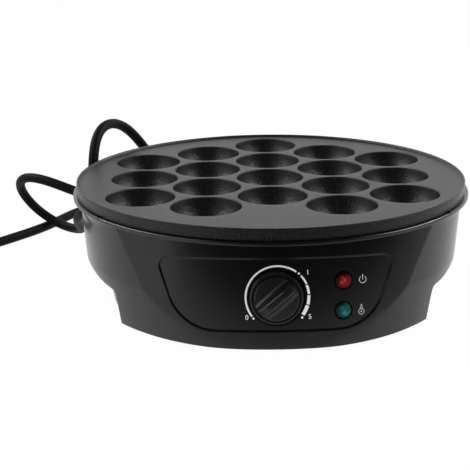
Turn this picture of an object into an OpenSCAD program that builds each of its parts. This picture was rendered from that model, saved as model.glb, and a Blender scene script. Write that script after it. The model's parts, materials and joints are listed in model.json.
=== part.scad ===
// Takoyaki maker: a round electric table cooker with a plate of half-round cups.
// Millimetres. The origin is on the table under the plate's centre: +X right, +Y back, +Z up.
// The control panel faces -Y and leans back, so its knob turns about a tilted axis.

/* [Baking plate] */
// Distance between neighbouring cups
cup_pitch = 50; // [49:0.5:51]
// Diameter of a cup's mouth
cup_d = 46; // [42:0.5:46.5]
// Depth of a cup
cup_depth = 20; // [16:0.5:21]
// Outer diameter of the plate
plate_d = 266; // [265:0.5:267]
// Thickness of the plate
plate_t = 3; // [2:0.5:3.5]
// Height of the raised edge above the baking surface
lip_h = 1.5; // [0.5:0.5:2]

/* [Housing] */
// Height of the baking surface above the table
surface_z = 83.5; // [83:0.5:86]
// Outer diameter of the flange under the plate
flange_d = 271; // [270:0.5:273]
// Diameter of the drum where it is narrowest
drum_d = 252; // [251:0.5:253]
// Diameter of the waisted base at the table, at the sides and the back
base_d = 220; // [216:1:226]
// Wall thickness of the housing
wall_t = 2.6; // [2:0.2:3]
// Height of the feet below the housing
foot_h = 2.5; // [2:0.5:3]

/* [Control panel] */
// Radius of the front apron in plan
apron_r = 185; // [180:1:190]
// Lean of the front apron from upright, in degrees
apron_tilt = 7.8; // [7:0.2:9]
// Distance of the panel's face from the plate's axis, at its middle
panel_y = 114.5; // [114:0.1:115.5]
// Height of the panel's middle above the table
panel_z = 34.8; // [33:0.1:36]
// Distance of the knob's centre to the right of the panel's middle
knob_x = -0.3; // [-1:0.1:1]
// Distance of the knob's centre above the panel's middle
knob_up = 0.6; // [0:0.1:1]
// Depth of the recess round the controls
recess_t = 1.2; // [0.8:0.1:1.4]
// Diameter of the knob
knob_d = 33; // [31:0.5:35]
// Height of the knob's grip above the panel
grip_h = 15; // [12:0.5:17]
// Turn of the knob from off to full heat, in degrees
knob_turn = 260; // [200:5:270]
// Diameter of the indicator lenses
lens_d = 9.6; // [8:0.2:10]

/* [Heating] */
// Diameter of the heating element's sheath
element_d = 6.6; // [6:0.2:7]
// Radius of the heating element's ring
element_r = 68.3; // [67.5:0.1:69]

/* [Mains lead] */
// Diameter of the lead
cord_d = 7.4; // [6.5:0.1:7.6]
// Length of the strain relief outside the housing
relief_l = 33.5; // [33:0.5:34]

/* [Hidden] */

$fn = 96;
gap = 0.05;                                  // air between pieces that slide together

// Heights, counted up from the table
base_z = foot_h;
cover_t = 2;
cover_z = foot_h + 0.8;
waist_z = surface_z - 73;
shoulder_z = surface_z - 52;
flange_z = surface_z - 6.5;                  // the plate's rim stands on the flange here
flange_t = 2.6;
flange_under_z = flange_z - flange_t;
plate_under_z = surface_z - plate_t;
shelf_z = surface_z - 26.5;                  // top of the shelves that carry the plate's bosses
shelf_t = 3.8;
reflector_z = 49.2;
reflector_t = 0.8;

// Cup bowls: one sphere whose centre is above the baking surface
bowl_r = (pow(cup_d / 2, 2) + pow(cup_depth, 2)) / (2 * cup_depth);
bowl_z = surface_z - cup_depth + bowl_r;
column_x = cup_pitch * sqrt(3) / 2;
// Cups stand in five columns, staggered by half a pitch; the front middle place has no cup
cups = [for (c = [-2:2], k = [-2:2]) let (row = k + (abs(c) == 1 ? 0.5 : 0))
    if (abs(row) <= 2 && !(abs(c) == 2 && abs(row) > 1) && !(c == 0 && row == -2))
    [c * column_x, row * cup_pitch]];

// Bosses under the plate: the outer four take the plate's screws, the inner four the clips
tie_boss_r = 108;
tie_boss_angles = [48, 132, 228, 312];
clip_boss = [column_x * 4 / 3, cup_pitch];
element_z = surface_z - 20.2;
clip_z = element_z - element_d / 2;
clip_t = 1;

// Drum and base: radius without the waist, and the extra draw of the waist
drum_top_r = drum_d / 2 + 1.6;
plain_slope = 0.17;
waist_r = base_d / 2 + 2;
loft_rows = [flange_under_z + 1, for (k = [0:6]) shoulder_z - k * (shoulder_z - waist_z) / 6,
    base_z];
loft_columns = 72;
waist_start = 20;                            // degrees from the front where the waist begins
waist_span = 75;                             // degrees over which it grows to its full depth

function clamp01(v) = min(max(v, 0), 1);
function smooth(v) = clamp01(v) * clamp01(v) * (3 - 2 * clamp01(v));
function mix(a, b, v) = a + (b - a) * v;

function plain_r(z) = z > shoulder_z
    ? mix(drum_d / 2, drum_top_r, (z - shoulder_z) / (flange_z - shoulder_z))
    : drum_d / 2 - plain_slope * (shoulder_z - z);
function waisted_r(z) = z > shoulder_z ? plain_r(z)
    : z < waist_z ? mix(base_d / 2, waist_r, (z - base_z) / (waist_z - base_z))
    : mix(drum_d / 2, waist_r, smooth(pow((shoulder_z - z) / (shoulder_z - waist_z), 1.35)));
// Share of the waist at an angle from the front: none behind the apron, full at the sides
function waist_share(a) = smooth((a - waist_start) / waist_span);
function body_r(a, z) = mix(plain_r(z), waisted_r(z), waist_share(a));

// Points of one level of the body, counted counter-clockwise from the front
function body_ring(z, inset) = [for (k = [0:loft_columns - 1])
    let (a = 360 * k / loft_columns, r = body_r(min(a, 360 - a), z) - inset)
    [r * sin(a), -r * cos(a), z]];

// Closed skin through rings of equal length, with flat ends
module skin(rings) {
    n = len(rings[0]);
    last = len(rings) - 1;
    polyhedron(
        points = [for (ring = rings, p = ring) p],
        faces = concat(
            [[for (k = [0:n - 1]) k]],
            [for (j = [0:last - 1], k = [0:n - 1]) let (m = (k + 1) % n)
                each [[j * n + k, j * n + n + k, j * n + m],
                    [j * n + m, j * n + n + k, j * n + n + m]]],
            [[for (k = [n - 1:-1:0]) last * n + k]]),
        convexity = 6);
}

// Tube of one diameter along a list of points, each ring turned with the path
function unit(v) = v / norm(v);
function heading(path, i) = unit(path[min(i + 1, len(path) - 1)] - path[max(i - 1, 0)]);
// Side vectors are carried from ring to ring without twist
function carried(path, i, side) = i >= len(path) ? []
    : let (t = heading(path, i), s = unit(side - t * (side * t)))
        concat([[s, cross(t, s)]], carried(path, i + 1, s));
function tube_rings(path, r, sides) = let (
        first = heading(path, 0),
        start = abs(first[2]) < 0.9 ? [0, 0, 1] : [1, 0, 0],
        frames = carried(path, 0, start))
    [for (i = [0:len(path) - 1]) [for (k = [0:sides - 1]) let (a = 360 * k / sides)
        path[i] + r * (frames[i][0] * cos(a) - frames[i][1] * sin(a))]];
module tube(path, d, sides) skin(tube_rings(path, d / 2, sides));

// Smooth path led by the given points and ending in the first and last of them
function at(p, i) = i < 0 ? 2 * p[0] - p[1]
    : i >= len(p) ? 2 * p[len(p) - 1] - p[len(p) - 2] : p[i];
function spline(p, steps) = concat(
    [for (i = [0:len(p) - 2], k = [0:steps - 1])
        let (t = k / steps, a = at(p, i - 1), b = p[i], c = p[i + 1], d = at(p, i + 2))
        (pow(1 - t, 3) * a + (3 * pow(t, 3) - 6 * t * t + 4) * b
            + (3 * t * t - 3 * pow(t, 3) + 3 * t + 1) * c + pow(t, 3) * d) / 6],
    [p[len(p) - 1]]);

// Frame of the control panel: x right, y up along the panel, z out of it, zero at its middle
module on_panel() translate([0, -panel_y, panel_z]) rotate([90 - apron_tilt, 0, 0]) children();
module on_knob() on_panel() translate([knob_x, knob_up, 0]) children();
// The same, moved along the curved panel and square to it there
module on_panel_at(x, up)
    on_panel() translate([0, up, -apron_r]) rotate([0, asin(x / apron_r), 0])
        translate([0, 0, apron_r]) children();
// Upright cylinder whose front line is the panel's face, drawn inwards by depth
module apron_cylinder(depth)
    on_panel() translate([0, 0, -apron_r]) rotate([90, 0, 0])
        cylinder(r = apron_r - depth, h = 400, center = true, $fn = 240);

module ring_solid(outer_r, inner_r, h) difference() {
    cylinder(r = outer_r, h = h);
    translate([0, 0, -1]) cylinder(r = inner_r, h = h + 2);
}
// Pan-head screw: shank upwards from zero, head below
module screw(d, length, head_d, head_h) {
    translate([0, 0, -0.1]) cylinder(d = d, h = length + 0.1, $fn = 32);
    translate([0, 0, -head_h]) difference() {
        cylinder(d1 = head_d * 0.8, d2 = head_d, h = head_h, $fn = 32);
        for (turn = [0, 90]) rotate(turn) translate([-d / 2, -0.4, -0.1]) cube([d, 0.8, 0.9]);
    }
}

// Outline with its corners rounded: each corner is [x, y, radius]
function fillet(a, b, c) = let (
        u = unit([a[0] - b[0], a[1] - b[1]]), v = unit([c[0] - b[0], c[1] - b[1]]),
        half = acos(u * v) / 2, m = unit(u + v), centre = [b[0], b[1]] + m * b[2] / sin(half),
        from = atan2(-m[1], -m[0]), sweep = 90 - half, side = sign(u[0] * v[1] - u[1] * v[0]))
    [for (k = [-4:4]) let (t = from - side * sweep * k / 4)
        centre + b[2] * [cos(t), sin(t)]];
function rounded(corners) = let (n = len(corners))
    [for (i = [0:n - 1]) each fillet(corners[(i + n - 1) % n], corners[i], corners[(i + 1) % n])];

recess_outline = rounded([[-75.5, 25, 6], [-60.8, -21.3, 31], [60.8, -21.3, 31],
    [75.5, 25, 6]]);
lens_x = 42;
lens_up = [9.5, -9.4];                       // red above, green below
lens_flare = 1;
lens_hole_r = lens_d / 2 + 0.15;

thermostat_screw_x = 10.5;
bracket_z = -5;
bracket_t = 1;
shaft_d = 6;

cover_post_r = 100;
cover_post_angles = [20, 160, 200, 340];
foot_r = 84;
foot_d = 18;

gland_direction = [-4, 3, 0] / 5;            // the lead leaves the drum at the back left
gland_z = 45;
gland_r = plain_r(gland_z);
gland_hole_d = 14;
clamp_seat = 9.4;                            // the clamp's seat, below the lead's centre line
clamp_z = -18;
clamp_screw_y = 6.4;
module on_gland() translate([0, 0, gland_z])
    rotate(atan2(gland_direction[1], gland_direction[0])) translate([gland_r, 0, 0])
        rotate([0, 90, 0]) children();

// ---- Housing ----

module body_outside() difference() {
    intersection() {
        skin([for (k = [len(loft_rows) - 1:-1:0]) body_ring(loft_rows[k], 0)]);
        apron_cylinder(0);
    }
    panel_recess();
}
module body_inside() intersection() {
    skin([for (k = [len(loft_rows) - 1:-1:0])
        body_ring(loft_rows[k] - (k == len(loft_rows) - 1 ? 2 : 0), wall_t)]);
    apron_cylinder(recess_t + wall_t);
}
module flange() difference() {
    rotate_extrude($fn = 144) polygon([[90, flange_z], [flange_d / 2 - 0.8, flange_z],
        [flange_d / 2, flange_z - 0.8], [flange_d / 2, flange_z - 2],
        for (k = [0:5]) let (a = 15 * k + 15)
            [flange_d / 2 - 1 - 6 * sin(a), flange_z - 8.6 + 6 * cos(a)],
        [flange_d / 2 - 8.2, flange_z - 8.6], [drum_d / 2 - 1, flange_z - 8.6],
        [drum_d / 2 - 1, flange_under_z], [90, flange_under_z]]);
    intersection() {
        translate([0, 0, flange_under_z - 10]) cylinder(r = drum_d / 2 + 0.2, h = 20);
        apron_cylinder(recess_t + wall_t);
    }
}
module panel_recess() difference() {
    on_panel() translate([0, 0, -30]) linear_extrude(height = 60) polygon(recess_outline);
    apron_cylinder(recess_t);
}
// What stands inside the shell: shelves for the plate, posts for the cover, pads
module housing_insides() {
    for (a = tie_boss_angles) rotate(a) {
        translate([99.5, -8, shelf_z - shelf_t]) cube([40, 16, shelf_t]);
        translate([0, 1.2, 0]) rotate([90, 0, 0]) linear_extrude(height = 2.4)
            polygon([[101, shelf_z - 1], [140, shelf_z - 1], [140, shelf_z - 40],
                [118, shelf_z - 30]]);
    }
    for (a = cover_post_angles) rotate(a) {
        translate([cover_post_r, 0, cover_z + cover_t]) cylinder(r = 4, h = 30, $fn = 32);
        translate([cover_post_r, -1.1, cover_z + cover_t + 4]) cube([40, 2.2, 24]);
    }
    on_knob() for (x = [-thermostat_screw_x, thermostat_screw_x])
        translate([x, 0, bracket_z]) cylinder(r = 4.5, h = 6, $fn = 48);
}
module housing() color("#1c1c1d") difference() {
    union() {
        difference() {
            body_outside();
            difference() {
                body_inside();
                housing_insides();
            }
        }
        flange();
        on_gland() translate([clamp_seat, -9, -24]) cube([2.6, 18, 22.6]);
    }
    for (a = tie_boss_angles) rotate(a) {
        translate([tie_boss_r, 0, shelf_z - shelf_t - 6]) cylinder(d = 4.6, h = 16, $fn = 32);
        translate([101.6, 0, shelf_z - shelf_t - 1]) cylinder(d = 2.6, h = 8, $fn = 32);
        translate([tie_boss_r, 0, shelf_z - shelf_t - 24]) cylinder(d = 9, h = 24, $fn = 32);
    }
    for (a = cover_post_angles) rotate(a) translate([cover_post_r, 0, 0])
        cylinder(d = 3.1, h = cover_z + cover_t + 14, $fn = 32);
    on_knob() {
        translate([0, 0, -12]) cylinder(d = shaft_d + 2, h = 20, $fn = 48);
        for (x = [-thermostat_screw_x, thermostat_screw_x])
            translate([x, 0, -12]) cylinder(d = 3.4, h = 20, $fn = 32);
    }
    for (up = lens_up) on_panel_at(lens_x, up) rotate_extrude($fn = 48) polygon([[0, -20],
        [lens_hole_r, -20], [lens_hole_r, -recess_t - lens_flare],
        [lens_hole_r + 3 * lens_flare, -recess_t + 2 * lens_flare],
        [0, -recess_t + 2 * lens_flare]]);
    on_gland() {
        translate([0, 0, -8]) cylinder(d = gland_hole_d, h = 36, $fn = 48);
        for (y = [-clamp_screw_y, clamp_screw_y]) translate([0, y, clamp_z]) rotate([0, 90, 0])
            cylinder(d = 2.6, h = 20, $fn = 32);
    }
}

module bottom_cover() color("#202021") difference() {
    translate([0, 0, cover_z]) linear_extrude(height = cover_t) intersection() {
        polygon([for (p = body_ring(base_z, wall_t + 0.3)) [p[0], p[1]]]);
        translate([0, apron_r - panel_y - (panel_z - cover_z) * tan(apron_tilt)])
            circle(r = apron_r - recess_t - wall_t - 0.8, $fn = 240);
    }
    for (a = cover_post_angles) rotate(a) translate([cover_post_r, 0, 0])
        cylinder(d = 3.6, h = 20, $fn = 32);
    for (a = [45, 135, 225, 315]) rotate(a) translate([foot_r, 0, 0])
        cylinder(d = 6, h = 20, $fn = 32);
    for (row = [-1, 1], k = [-4:4]) translate([k * 7 - 1.5, row * 30 - 12, 0])
        cube([3, 24, 20]);
}
module foot(a) color("#2a2a2a") rotate(a) translate([foot_r, 0, 0]) {
    rotate_extrude($fn = 48) polygon([[0, 0], [foot_d / 2 - 1, 0], [foot_d / 2, 1],
        [foot_d / 2, cover_z], [2.95, cover_z], [2.95, cover_z + cover_t],
        [3.8, cover_z + cover_t], [2, cover_z + cover_t + 2.6], [0, cover_z + cover_t + 2.6]]);
}
module cover_screws() color("silver") for (a = cover_post_angles)
    rotate(a) translate([cover_post_r, 0, cover_z]) screw(3, 12, 6, 1.8);

// ---- Plate and heating ----

module baking_plate() color("#5f5e62") difference() {
    union() {
        rotate_extrude($fn = 180) polygon([[0, plate_under_z], [plate_d / 2 - 3.4, plate_under_z],
            [plate_d / 2 - 3, flange_z], [plate_d / 2 - 0.4, flange_z],
            [plate_d / 2, flange_z + 0.5], [plate_d / 2, surface_z + lip_h - 0.6],
            [plate_d / 2 - 0.6, surface_z + lip_h], [plate_d / 2 - 1.5, surface_z + lip_h],
            [plate_d / 2 - 3, surface_z], [0, surface_z]]);
        intersection() {
            for (c = cups) translate([c[0], c[1], bowl_z]) sphere(r = bowl_r + plate_t);
            cylinder(r = plate_d / 2 - 5, h = plate_under_z + 1);
        }
        for (a = tie_boss_angles) rotate(a) translate([tie_boss_r, 0, shelf_z])
            cylinder(r = 4, h = plate_under_z - shelf_z + 1, $fn = 48);
        for (x = [-1, 1], y = [-1, 1]) translate([x * clip_boss[0], y * clip_boss[1], clip_z])
            cylinder(r = 4, h = plate_under_z - clip_z + 1, $fn = 48);
        translate([-12, -94.5, plate_under_z - 5]) cylinder(r = 3, h = 6, $fn = 32);
    }
    for (c = cups) translate([c[0], c[1], bowl_z]) sphere(r = bowl_r);
    for (a = tie_boss_angles) rotate(a) translate([tie_boss_r, 0, shelf_z - 1])
        cylinder(d = 4.1, h = 13, $fn = 32);
    for (x = [-1, 1], y = [-1, 1]) translate([x * clip_boss[0], y * clip_boss[1], clip_z - 1])
        cylinder(d = 3.1, h = 10, $fn = 32);
    translate([-12, -94.5, plate_under_z - 6]) cylinder(d = 2.6, h = 7, $fn = 32);
}
module plate_screws() color("silver") for (a = tie_boss_angles)
    rotate(a) translate([tie_boss_r, 0, shelf_z - shelf_t]) screw(4, 15, 7.5, 2.6);

element_gap = 13;                            // degrees on each side of the break in the ring
element_bend = 8;
leg_end_z = 38;
leg_x = element_r * sin(element_gap) - element_bend * cos(element_gap);
leg_y = element_r * cos(element_gap) + element_bend * sin(element_gap);
// Centre line of the sheath: up one leg, round the ring and down the other leg
function bend_point(side, a) = [
    side * (leg_x + element_bend * cos(element_gap) * (1 - cos(a))),
    leg_y - element_bend * sin(element_gap) * (1 - cos(a)),
    element_z - element_bend * (1 - sin(a))];
element_steps = 48;
element_path = concat(
    [[leg_x, leg_y, leg_end_z]],
    [for (k = [0:4]) bend_point(1, 22.5 * k)],
    [for (k = [1:element_steps - 1])
        let (a = 90 - element_gap - (360 - 2 * element_gap) * k / element_steps)
        [element_r * cos(a), element_r * sin(a), element_z]],
    [for (k = [4:-1:0]) bend_point(-1, 22.5 * k)],
    [[-leg_x, leg_y, leg_end_z]]);
module heating_element() color("#7d7a75") tube(element_path, element_d, 12);
module element_pins() color("silver") for (side = [-1, 1])
    translate([side * leg_x, leg_y, leg_end_z - 7]) cylinder(d = 2.6, h = 7, $fn = 32);
module element_seal(side) color("#e8e2d4") translate([side * leg_x, leg_y, reflector_z])
    rotate_extrude($fn = 48) polygon([[element_d / 2 + gap, -4], [5, -4], [5, reflector_t],
        [6.4, reflector_t], [6.4, reflector_t + 1.6], [element_d / 2 + gap, reflector_t + 1.6]]);
module element_clip(x, y) color("#b9bbbd") difference() {
    rotate(atan2(y * clip_boss[1], x * clip_boss[0])) translate([62, -6, clip_z - clip_t])
        cube([20, 12, clip_t]);
    translate([x * clip_boss[0], y * clip_boss[1], 0]) cylinder(d = 3.3, h = 100, $fn = 32);
}
module element_clip_screws() color("silver") for (x = [-1, 1], y = [-1, 1])
    translate([x * clip_boss[0], y * clip_boss[1], clip_z - clip_t]) screw(3, 9, 6, 2);

capillary_hole = [18, -88];
module heat_reflector() color("#c9cbcc") difference() {
    translate([0, 0, reflector_z]) rotate_extrude($fn = 144) polygon([[0, 0], [94, 0],
        [98.2, shelf_z - reflector_z], [103.5, shelf_z - reflector_z],
        [103.5, shelf_z - reflector_z + reflector_t], [97.6, shelf_z - reflector_z + reflector_t],
        [93.4, reflector_t], [0, reflector_t]]);
    for (side = [-1, 1]) translate([side * leg_x, leg_y, 0]) cylinder(r = 5.1, h = 100, $fn = 48);
    for (a = tie_boss_angles) rotate(a) {
        translate([101.6, 0, 0]) cylinder(d = 2.7, h = 100, $fn = 32);
        translate([tie_boss_r, 0, 40]) cylinder(d = 9, h = 40, $fn = 32);
    }
    translate([capillary_hole[0], capillary_hole[1], 0]) cylinder(d = 5, h = 100, $fn = 32);
    for (p = [fuse_place, earth_place]) translate([p[0], p[1], 0])
        cylinder(d = 2.7, h = 100, $fn = 32);
}
module reflector_screws() color("silver") for (a = tie_boss_angles)
    rotate(a) translate([101.6, 0, shelf_z + reflector_t]) mirror([0, 0, 1])
        screw(2.5, 4.2, 3.4, 1.2);

// ---- Thermostat, knob and lamps, in the panel's frame ----

body_depth = 14;
module thermostat_bracket() color("#b9bbbd") on_knob() difference() {
    translate([-16, -9, bracket_z - bracket_t]) cube([32, 18, bracket_t]);
    for (x = [-thermostat_screw_x, thermostat_screw_x])
        translate([x, 0, -12]) cylinder(d = 3.3, h = 20, $fn = 32);
    translate([0, 0, -12]) cylinder(d = shaft_d + 2, h = 20, $fn = 48);
}
module thermostat_body() color("#d8d2c2") on_knob() difference() {
    union() {
        translate([0, 0, bracket_z - bracket_t - 3]) cylinder(r = 7, h = 3, $fn = 64);
        translate([-11, -10, bracket_z - bracket_t - 3 - body_depth])
            cube([22, 20, body_depth]);
    }
    translate([0, 0, bracket_z - bracket_t - 13])
        cylinder(r = shaft_d / 2 + gap, h = 20, $fn = 48);
}
module thermostat_terminals() color("#c9a24a") on_knob() for (x = [-6, 0, 6])
    translate([x - 0.4, -8, bracket_z - bracket_t - 3 - body_depth - 7]) cube([0.8, 6.3, 7]);
module thermostat_screws() color("silver") on_knob()
    for (x = [-thermostat_screw_x, thermostat_screw_x])
        translate([x, 0, -recess_t]) mirror([0, 0, 1]) screw(3, 7.4, 6, 1.8);

grip_from = bracket_z - bracket_t - 12;
shaft_flat = 2;
leaf_t = 0.4;
module thermostat_shaft() color("#b5b7b8") on_knob() difference() {
    translate([0, 0, grip_from]) cylinder(d = shaft_d, h = 10 - grip_from, $fn = 48);
    rotate(pointer_angle) translate([shaft_flat, -5, 1]) cube([5, 10, 20]);
}
// The pointer end of the grip faces the lower left at off
pointer_angle = 90 + knob_turn / 2;
knob_low = -recess_t + 0.8;
collar_h = 4.2;
face_h = 6.4;
face_r = knob_d / 2 - 2.6;
module knob() color("#191919") on_knob() difference() {
    union() {
        rotate_extrude($fn = 96) polygon([[0, knob_low], [knob_d / 2, knob_low],
            [knob_d / 2, collar_h - 0.8], [knob_d / 2 - 0.7, collar_h], [face_r + 1, collar_h],
            [face_r + 0.8, collar_h - 0.9], [face_r, collar_h - 0.9], [face_r, face_h - 0.8],
            [face_r - 0.8, face_h], [0, face_h]]);
        intersection() {
            rotate(pointer_angle) rotate([90, 0, 90]) translate([0, 0, -face_r])
                linear_extrude(height = 2 * face_r) polygon([[-6.4, face_h - 1],
                    [6.4, face_h - 1], [5.4, face_h + 0.8], [3.9, grip_h - 3], [3.1, grip_h - 0.9],
                    [2, grip_h], [-2, grip_h], [-3.1, grip_h - 0.9], [-3.9, grip_h - 3],
                    [-5.4, face_h + 0.8]]);
            cylinder(r1 = face_r + 0.2, r2 = face_r - 1.2, h = grip_h + 0.5, $fn = 96);
        }
    }
    translate([0, 0, knob_low - 1]) ring_solid(knob_d / 2 - 1.6, 5.4, 3.8);
    difference() {
        translate([0, 0, knob_low - 1]) cylinder(d = shaft_d + 2 * gap, h = 11 - knob_low, $fn = 48);
        rotate(pointer_angle) translate([shaft_flat + leaf_t + gap, -5, 1.2]) cube([5, 10, 20]);
    }
}
module knob_leaf_spring() color("silver") on_knob() rotate(pointer_angle)
    translate([shaft_flat + gap / 2, -1.6, 1.6]) cube([leaf_t, 3.2, 7.6]);

module lens(up, tint) color(tint) on_panel_at(lens_x, up) difference() {
    rotate_extrude($fn = 48) polygon(concat([[0, -13], [lens_d / 2, -13]],
        [for (k = [0:8]) let (a = 90 * k / 8)
            [lens_d / 2 * cos(a), -recess_t + 2.6 * sin(a)]]));
    translate([0, 0, -14]) cylinder(d = lens_d - 2.4, h = 9, $fn = 48);
}
module lens_nut(up) color("#b9bbbd") on_panel_at(lens_x, up)
    translate([0, 0, -recess_t - wall_t - 1]) ring_solid(7.2, lens_d / 2 + gap, 0.8);
module lamp(up, tint) color(tint) on_panel_at(lens_x, up) {
    rotate_extrude($fn = 48) polygon([[0, -18], [3.2, -18], [3.2, -8], [2, -6.4], [0, -5.8]]);
    for (x = [-1.2, 1.2]) translate([x, 0, -23]) cylinder(d = 0.6, h = 5.5, $fn = 16);
}

bulb_d = 5;
bulb_y = -101;
bulb_z = plate_under_z - bulb_d / 2;
module sensor_bulb() color("#c98f5a") translate([-17, bulb_y, bulb_z]) rotate([0, 90, 0])
    cylinder(d = bulb_d, h = 34, $fn = 48);
module capillary_tube() color("#c98f5a") tube(spline([[17.1, -101, 78], [25, -100, 77],
    [26, -93, 69], [20, -88, 60], [18, -88, 50], [14, -88, 43.5], [7.7, -89, 39.9]], 3), 1.6, 6);
module bulb_clip() color("#b9bbbd") difference() {
    union() {
        translate([-16, bulb_y, bulb_z]) rotate([0, 90, 0]) cylinder(d = bulb_d + 1.6, h = 8, $fn = 48);
        translate([-16, bulb_y + 2.4, plate_under_z - 5.8]) cube([8, 7, 0.8]);
        translate([-16, bulb_y + 2.4, plate_under_z - 5.8]) cube([8, 0.8, 3.5]);
    }
    translate([-17, bulb_y, bulb_z]) rotate([0, 90, 0])
        cylinder(d = bulb_d + 0.1, h = 10, $fn = 48);
    translate([-20, -110, plate_under_z]) cube([20, 30, 10]);
    translate([-12, -94.5, 60]) cylinder(d = 2.7, h = 30, $fn = 32);
}
module bulb_clip_screw() color("silver") translate([-12, -94.5, plate_under_z - 5.8])
    screw(2.5, 5, 4.6, 1.6);

// ---- Wiring, lead and plug ----

fuse_place = [34, 44];
earth_place = [-40, 20];
module thermal_fuse() color("#e0dccf") translate([fuse_place[0], fuse_place[1] + 5, 46.4])
    rotate([0, 90, 0]) cylinder(d = 4, h = 16, center = true, $fn = 48);
module fuse_clip() color("#b9bbbd") translate([fuse_place[0], fuse_place[1], 0]) difference() {
    union() {
        translate([-4, -3, reflector_z - 0.8]) cube([8, 8, 0.8]);
        translate([-4, 5, 46.4]) rotate([0, 90, 0]) cylinder(d = 5.4, h = 8, $fn = 48);
    }
    translate([-5, 5, 46.4]) rotate([0, 90, 0]) cylinder(d = 4.1, h = 10, $fn = 48);
    translate([-5, -10, reflector_z]) cube([10, 30, 10]);
    cylinder(d = 2.7, h = 100, $fn = 32);
}

block_place = [-30, 58];
block_bore_z = cover_z + cover_t + 5;
module terminal_block() color("#efece2") translate([block_place[0], block_place[1], 0])
    difference() {
        translate([-15, -9, cover_z + cover_t]) cube([30, 18, 11]);
        for (x = [-9, 0, 9]) {
            translate([x, 10, block_bore_z]) rotate([90, 0, 0]) cylinder(d = 3.4, h = 20, $fn = 32);
            translate([x, 0, block_bore_z]) cylinder(d = 3.1, h = 20, $fn = 32);
        }
    }
module terminal_screws() color("silver") for (x = [-9, 0, 9])
    translate([block_place[0] + x, block_place[1], cover_z + cover_t + 11])
        mirror([0, 0, 1]) screw(3, 4, 5, 0.8);

module wire(points, tint) color(tint) tube(spline(points, 3), 2, 6);
module wire_live() wire([[-39, 51, 10], [-39, 40, 11], [-30, 5, 18], [-16, -45, 24],
    [-6.3, -82, 30.8]], "#7a4a2a");
module wire_neutral() wire([[-21, 65, 10], [-20, 74, 12], [-15, 79, 19], [-9, 74, 25],
    [-8, 68, 27], [-8, 68, 30.8]], "#3f6fb0");
module wire_heater() wire([[5.7, -82, 30.8], [13, -55, 27], [30, -10, 28], [48, 30, 40],
    [46, 48, 46]], "#3a3a3a");
module wire_earth() wire([[-30, 51, 10], [-31, 40, 13], [-37, 28, 25], [-40, 21, 36],
    [-40, 20, 46]], "#8aa23a");

module cord_clamp() color("#efece2") on_gland() difference() {
    translate([-6, -9, clamp_z - 5]) cube([clamp_seat + 6, 18, 10]);
    translate([0, 0, clamp_z - 6]) cylinder(d = cord_d + 0.1, h = 12, $fn = 48);
    for (y = [-clamp_screw_y, clamp_screw_y]) translate([-7, y, clamp_z]) rotate([0, 90, 0])
        cylinder(d = 2.7, h = 20, $fn = 32);
}
module cord_clamp_screws() color("silver") on_gland()
    for (y = [-clamp_screw_y, clamp_screw_y]) translate([-6, y, clamp_z]) rotate([0, 90, 0])
        screw(2.5, 17.6, 4.6, 1.6);
module cord_tail() color("#151515") on_gland() translate([0, 0, -34])
    cylinder(d = cord_d, h = 28, $fn = 48);

module strain_relief() color("#171717") on_gland() difference() {
    rotate_extrude($fn = 64) polygon([[0, -6], [9, -6], [9, -wall_t - 0.6],
        [gland_hole_d / 2 - gap, -wall_t - 0.6], [gland_hole_d / 2 - gap, 0.4], [8.6, 0.4],
        [8.6, 2.4], [7, 3.4], [cord_d / 2 + 1.1, relief_l], [0, relief_l]]);
    for (k = [0:5]) translate([0, 0, 7 + k * 4])
        ring_solid(12, 5.9 - k * 0.25, 1.4);
}

// Route of the lead, from the strain relief's tip round to the plug
cord_route = [
    [-128, 96, 45], [-144, 108, 45], [-172, 117, 55], [-194, 134, 54], [-200, 156, 37],
    [-186, 165, 15], [-163, 155, 4], [-144, 134, 8], [-147, 108, 21], [-145, 86, 33],
    [-133, 65, 45], [-128, 57, 72], [-128, 70, 96], [-121, 94, 105], [-108, 117, 98],
    [-93, 124, 77], [-82, 129, 56], [-76, 141, 36], [-77, 157, 20], [-81, 177, 9], [-89, 200, 4],
    [-105, 219, 4], [-130, 226, 4], [-152, 215, 4], [-165, 193, 4], [-174, 171, 4],
    [-186, 150, 4], [-201, 130, 4], [-217, 109, 4], [-237, 95, 4], [-262, 90, 4], [-285, 98, 4],
    [-302, 116, 4], [-310, 139, 5], [-312, 163, 12], [-312, 187, 19], [-312, 211, 19]];
module power_cord() color("#161616") tube(spline(cord_route, 2), cord_d, 8);

plug_end = cord_route[len(cord_route) - 1];
plug_heading = plug_end - cord_route[len(cord_route) - 2];
plug_r = 18.8;
plug_face = 44;
pin_d = 4.8;
pin_x = 9.5;
module on_plug() translate(plug_end) rotate([0, 90, atan2(plug_heading[1], plug_heading[0])])
    children();
module plug_body() color("#161616") on_plug() difference() {
    rotate_extrude($fn = 72) polygon([[0, 0], [5.2, 0], [6.4, 14], [8, 19], [13, 23],
        [plug_r - 0.8, 27], [plug_r, 28.5], [plug_r, plug_face - 1.2],
        [plug_r - 1.2, plug_face], [0, plug_face]]);
    for (side = [-1, 1]) {
        translate([0, side * pin_x, plug_face - 9]) cylinder(d = pin_d + 2 * gap, h = 10, $fn = 48);
        translate([0, side * 31, 30]) rotate([0, 90, 0]) cylinder(r = 15.5, h = 60, center = true);
    }
}
module plug_pins() color("silver") on_plug() for (side = [-1, 1])
    translate([0, side * pin_x, plug_face - 8.9]) rotate_extrude($fn = 48)
        polygon([[0, 0], [pin_d / 2, 0], [pin_d / 2, 26.4], [pin_d / 2 - 1.2, 27.9], [0, 27.9]]);

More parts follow.
